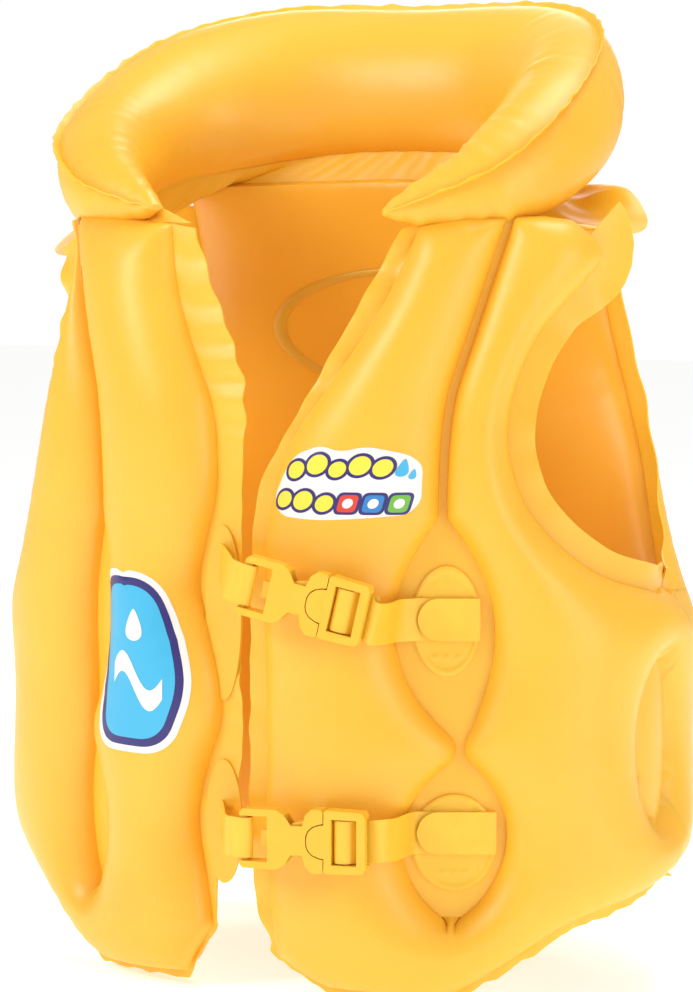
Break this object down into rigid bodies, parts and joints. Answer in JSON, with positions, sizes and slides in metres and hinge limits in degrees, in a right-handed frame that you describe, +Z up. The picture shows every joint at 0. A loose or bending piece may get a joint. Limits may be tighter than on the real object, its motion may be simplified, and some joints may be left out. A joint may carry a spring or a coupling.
{
  "type": "inflatable swim vest",
  "caption": "Child's inflatable vinyl swim vest: welded air chambers round the torso, a pillow collar, and side-release buckles on short straps that close the front.",
  "frame": {"origin": "under the middle of the whole vest, on the surface it stands on", "axes": "+Z up along the wearer's spine, -Y the way the wearer faces, +X towards the wearer's left"},
  "size_m": [0.359, 0.2728, 0.4726],
  "materials": {
    "film": "calendered soft vinyl film, satin",
    "strap": "calendered vinyl strap and patch, satin",
    "moulding": "injection-moulded acetal, fine satin",
    "clear": "soft moulded vinyl valve, half clear"
  },
  "bodies": {
    "right_side": {"front_right_chamber": "film", "back_right_chamber": "film", "collar_right": "film", "front_right_hem": "film", "armhole_hem_right": "film", "yoke_right": "film", "upper_tab_patch": "strap", "lower_tab_patch": "strap", "upper_buckle_socket": "moulding", "lower_buckle_socket": "moulding", "back_right_valve_base": "clear", "collar_valve_base": "clear"},
    "left_side": {"front_left_chamber": "film", "back_left_chamber": "film", "collar_left": "film", "front_left_hem": "film", "armhole_hem_left": "film", "yoke_left": "film", "upper_strap_patch": "strap", "upper_strap": "strap", "lower_strap_patch": "strap", "lower_strap": "strap", "back_left_valve_base": "clear"},
    "upper_clip": {"upper_buckle_clip": "moulding"},
    "upper_arm_top": {"upper_clip_arm_top": "moulding"},
    "upper_arm_bottom": {"upper_clip_arm_bottom": "moulding"},
    "lower_clip": {"lower_buckle_clip": "moulding"},
    "lower_arm_top": {"lower_clip_arm_top": "moulding"},
    "lower_arm_bottom": {"lower_clip_arm_bottom": "moulding"},
    "back_left_valve_stem_body": {"back_left_valve_stem": "clear"},
    "back_left_valve_plug_body": {"back_left_valve_plug": "clear"},
    "back_right_valve_stem_body": {"back_right_valve_stem": "clear"},
    "back_right_valve_plug_body": {"back_right_valve_plug": "clear"},
    "collar_valve_stem_body": {"collar_valve_stem": "clear"},
    "collar_valve_plug_body": {"collar_valve_plug": "clear"}
  },
  "joints": [
    {"name": "front_opening", "type": "hinge", "parent": "right_side", "child": "left_side", "pos_m": [0, 0.14042, 0.2], "axis": [0, 0, 1], "range_deg": [0, 30], "stiffness_Nm_per_rad": 0.15},
    {"name": "upper_buckle_release", "type": "slide", "parent": "left_side", "child": "upper_clip", "axis": [0.9561, 0.188, -0.225], "range_m": [0, 0.024], "deforming": ["upper_strap"]},
    {"name": "upper_squeeze_top", "type": "hinge", "parent": "upper_clip", "child": "upper_arm_top", "pos_m": [0.05396, -0.1237, 0.19801], "axis": [0.1929, -0.9812, 0], "range_deg": [0, 5.5], "stiffness_Nm_per_rad": 0.02},
    {"name": "upper_squeeze_bottom", "type": "hinge", "parent": "upper_clip", "child": "upper_arm_bottom", "pos_m": [0.04946, -0.12458, 0.17813], "axis": [-0.1929, 0.9812, 0], "range_deg": [0, 5.5], "stiffness_Nm_per_rad": 0.02},
    {"name": "lower_buckle_release", "type": "slide", "parent": "left_side", "child": "lower_clip", "axis": [0.9812, 0.1929, 0], "range_m": [0, 0.024], "deforming": ["lower_strap"]},
    {"name": "lower_squeeze_top", "type": "hinge", "parent": "lower_clip", "child": "lower_arm_top", "pos_m": [0.05171, -0.12414, 0.0882], "axis": [0.1929, -0.9812, 0], "range_deg": [0, 5.5], "stiffness_Nm_per_rad": 0.02},
    {"name": "lower_squeeze_bottom", "type": "hinge", "parent": "lower_clip", "child": "lower_arm_bottom", "pos_m": [0.05171, -0.12414, 0.0678], "axis": [-0.1929, 0.9812, 0], "range_deg": [0, 5.5], "stiffness_Nm_per_rad": 0.02},
    {"name": "back_left_valve_pull", "type": "slide", "parent": "left_side", "child": "back_left_valve_stem_body", "axis": [0.3809, 0.9103, -0.162], "range_m": [0, 0.012]},
    {"name": "back_left_valve_cap", "type": "hinge", "parent": "back_left_valve_stem_body", "child": "back_left_valve_plug_body", "pos_m": [0.09285, 0.11235, 0.06944], "axis": [-0.9225, 0.386, 0], "range_deg": [0, 130]},
    {"name": "back_right_valve_pull", "type": "slide", "parent": "right_side", "child": "back_right_valve_stem_body", "axis": [-0.3809, 0.9103, -0.162], "range_m": [0, 0.012]},
    {"name": "back_right_valve_cap", "type": "hinge", "parent": "back_right_valve_stem_body", "child": "back_right_valve_plug_body", "pos_m": [-0.09285, 0.11235, 0.06944], "axis": [-0.9225, -0.386, 0], "range_deg": [0, 130]},
    {"name": "collar_valve_pull", "type": "slide", "parent": "right_side", "child": "collar_valve_stem_body", "axis": [-0.2889, 0.7763, -0.5603], "range_m": [0, 0.012]},
    {"name": "collar_valve_cap", "type": "hinge", "parent": "collar_valve_stem_body", "child": "collar_valve_plug_body", "pos_m": [-0.07804, 0.07177, 0.4034], "axis": [-0.9372, -0.3488, 0], "range_deg": [0, 130]}
  ]
}
